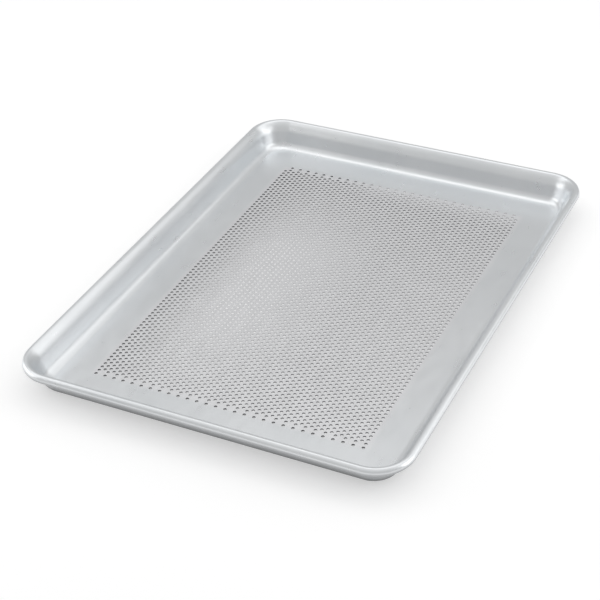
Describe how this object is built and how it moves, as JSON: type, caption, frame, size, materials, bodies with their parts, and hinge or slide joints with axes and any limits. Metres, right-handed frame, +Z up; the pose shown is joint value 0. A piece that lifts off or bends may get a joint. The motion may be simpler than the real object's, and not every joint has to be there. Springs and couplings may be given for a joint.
{
  "type": "perforated sheet pan",
  "caption": "Shallow rectangular aluminium baking tray with a staggered perforated floor, flared walls and a rim rolled round a steel wire.",
  "frame": {"origin": "middle of the flat underside, where the pan rests", "axes": "+Z up, +Y along the long side, +X along the short side"},
  "size_m": [0.329, 0.454, 0.0254],
  "materials": {
    "aluminium_sheet": "satin mill finish, brushed lightly by rolling and pressing",
    "galvanised_wire": "galvanised, dull grey"
  },
  "bodies": {
    "root": {"pan_sheet": "aluminium_sheet", "rim_wire": "galvanised_wire"}
  },
  "joints": []
}
